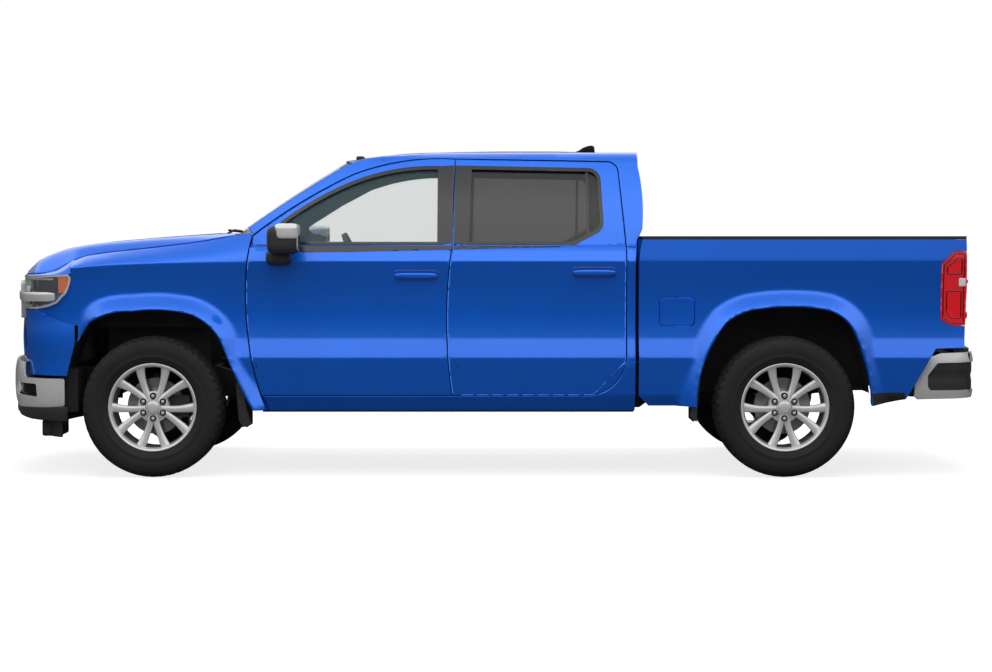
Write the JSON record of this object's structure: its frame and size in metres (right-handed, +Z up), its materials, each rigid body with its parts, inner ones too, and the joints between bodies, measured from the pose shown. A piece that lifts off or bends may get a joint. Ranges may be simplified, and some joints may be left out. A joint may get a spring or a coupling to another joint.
{
  "type": "crew-cab pickup truck",
  "caption": "Crew-cab pickup truck with a short load bed, opening doors, hood and tailgate, steered front wheels and turning road wheels.",
  "frame": {"origin": "on the ground, on the centre line, midway along the truck", "axes": "front faces -Y, the driver's side is +X, +Z up"},
  "size_m": [2.47, 5.8728, 2.0102],
  "materials": {
    "paint": "gloss",
    "chrome": "satin",
    "steel": "satin",
    "iron": "matt",
    "aluminium": "satin",
    "alloy": "polished",
    "black": "matt",
    "rubber": "matt",
    "tyre": "matt",
    "fabric": "woven",
    "glass": "clear",
    "lamp": "clear",
    "red": "gloss"
  },
  "bodies": {
    "truck": {"cab_side_frames": "paint", "roof": "paint", "cab_rear_wall": "paint", "cab_floor": "steel", "cab_glass": "glass", "front_fenders": "paint", "front_bumper": "chrome", "air_dam": "black", "front_fascia": "paint", "grille": "chrome", "headlamps": "lamp", "front_structure": "steel", "wheel_liners": "black", "cowl": "black", "load_bed": "paint", "bed_sides": "paint", "tail_lamps": "red", "rail_caps": "black", "rear_bumper": "chrome", "step_pads": "black", "ladder_frame": "steel", "rear_axle": "iron", "leaf_springs": "steel", "dampers": "steel", "front_arms": "iron", "steering_rack": "aluminium", "engine": "iron", "driveshaft": "steel", "fuel_tank": "black", "exhaust": "steel", "dashboard": "black", "seat_cushions": "fabric", "seat_backs": "fabric", "seat_bases": "black", "mud_flaps": "rubber"},
    "door_front_left": {"door_front_left": "paint", "window_front_left": "glass", "mirror_left": "black"},
    "door_front_right": {"door_front_right": "paint", "window_front_right": "glass", "mirror_right": "black"},
    "door_rear_left": {"door_rear_left": "paint", "window_rear_left": "glass"},
    "door_rear_right": {"door_rear_right": "paint", "window_rear_right": "glass"},
    "hood": {"hood": "paint"},
    "tailgate": {"tailgate": "paint"},
    "fuel_door": {"fuel_door": "paint"},
    "knuckle_left": {"knuckle_left": "iron"},
    "knuckle_right": {"knuckle_right": "iron"},
    "steering_wheel": {"steering_wheel": "black"},
    "tie_rods": {"tie_rods": "steel"},
    "wheel_front_left": {"tyre_front_left": "tyre", "rim_front_left": "alloy"},
    "wheel_front_right": {"tyre_front_right": "tyre", "rim_front_right": "alloy"},
    "wheel_rear_left": {"tyre_rear_left": "tyre", "rim_rear_left": "alloy"},
    "wheel_rear_right": {"tyre_rear_right": "tyre", "rim_rear_right": "alloy"}
  },
  "joints": [
    {"name": "door_front_left_hinge", "type": "hinge", "parent": "truck", "child": "door_front_left", "pos_m": [0.986, -1.356, 0.98], "axis": [0, 0, -1], "range_deg": [0, 65]},
    {"name": "door_rear_left_hinge", "type": "hinge", "parent": "truck", "child": "door_rear_left", "pos_m": [0.986, -0.165, 0.98], "axis": [0, 0, -1], "range_deg": [0, 65]},
    {"name": "door_front_right_hinge", "type": "hinge", "parent": "truck", "child": "door_front_right", "pos_m": [-0.986, -1.356, 0.98], "axis": [0, 0, 1], "range_deg": [0, 65]},
    {"name": "door_rear_right_hinge", "type": "hinge", "parent": "truck", "child": "door_rear_right", "pos_m": [-0.986, -0.165, 0.98], "axis": [0, 0, 1], "range_deg": [0, 65]},
    {"name": "hood_hinge", "type": "hinge", "parent": "truck", "child": "hood", "pos_m": [0, -1.52, 1.42], "axis": [-1, 0, 0], "range_deg": [0, 45]},
    {"name": "tailgate_hinge", "type": "hinge", "parent": "truck", "child": "tailgate", "pos_m": [0, 2.809, 0.876], "axis": [-1, 0, 0], "range_deg": [0, 89]},
    {"name": "fuel_door_hinge", "type": "hinge", "parent": "truck", "child": "fuel_door", "pos_m": [0.963, 1.037, 0.986], "axis": [0, 0, -1], "range_deg": [0, 95]},
    {"name": "steer_left", "type": "hinge", "parent": "truck", "child": "knuckle_left", "pos_m": [0.798, -1.974, 0.419], "axis": [0, 0, 1], "range_deg": [-33, 33]},
    {"name": "spin_front_left", "type": "hinge", "parent": "knuckle_left", "child": "wheel_front_left", "pos_m": [0.8685, -1.974, 0.419], "axis": [1, 0, 0], "continuous": true},
    {"name": "spin_rear_left", "type": "hinge", "parent": "truck", "child": "wheel_rear_left", "pos_m": [0.8685, 1.771, 0.419], "axis": [1, 0, 0], "continuous": true},
    {"name": "steer_right", "type": "hinge", "parent": "truck", "child": "knuckle_right", "pos_m": [-0.798, -1.974, 0.419], "axis": [0, 0, 1], "range_deg": [-33, 33]},
    {"name": "spin_front_right", "type": "hinge", "parent": "knuckle_right", "child": "wheel_front_right", "pos_m": [-0.8685, -1.974, 0.419], "axis": [1, 0, 0], "continuous": true},
    {"name": "spin_rear_right", "type": "hinge", "parent": "truck", "child": "wheel_rear_right", "pos_m": [-0.8685, 1.771, 0.419], "axis": [1, 0, 0], "continuous": true},
    {"name": "steering_column", "type": "hinge", "parent": "truck", "child": "steering_wheel", "pos_m": [0.4, -0.796, 1.266], "axis": [0, 0.9135, 0.4067], "range_deg": [-495, 495]},
    {"name": "rack_slide", "type": "slide", "parent": "truck", "child": "tie_rods", "axis": [1, 0, 0], "range_m": [-0.0749, 0.0749]}
  ],
  "couplings": [
    {"joint": "steer_right", "follows": "steer_left", "ratio": 1},
    {"joint": "rack_slide", "follows": "steer_left", "m_per_rad": 0.13},
    {"joint": "steering_column", "follows": "steer_left", "ratio": 15}
  ]
}
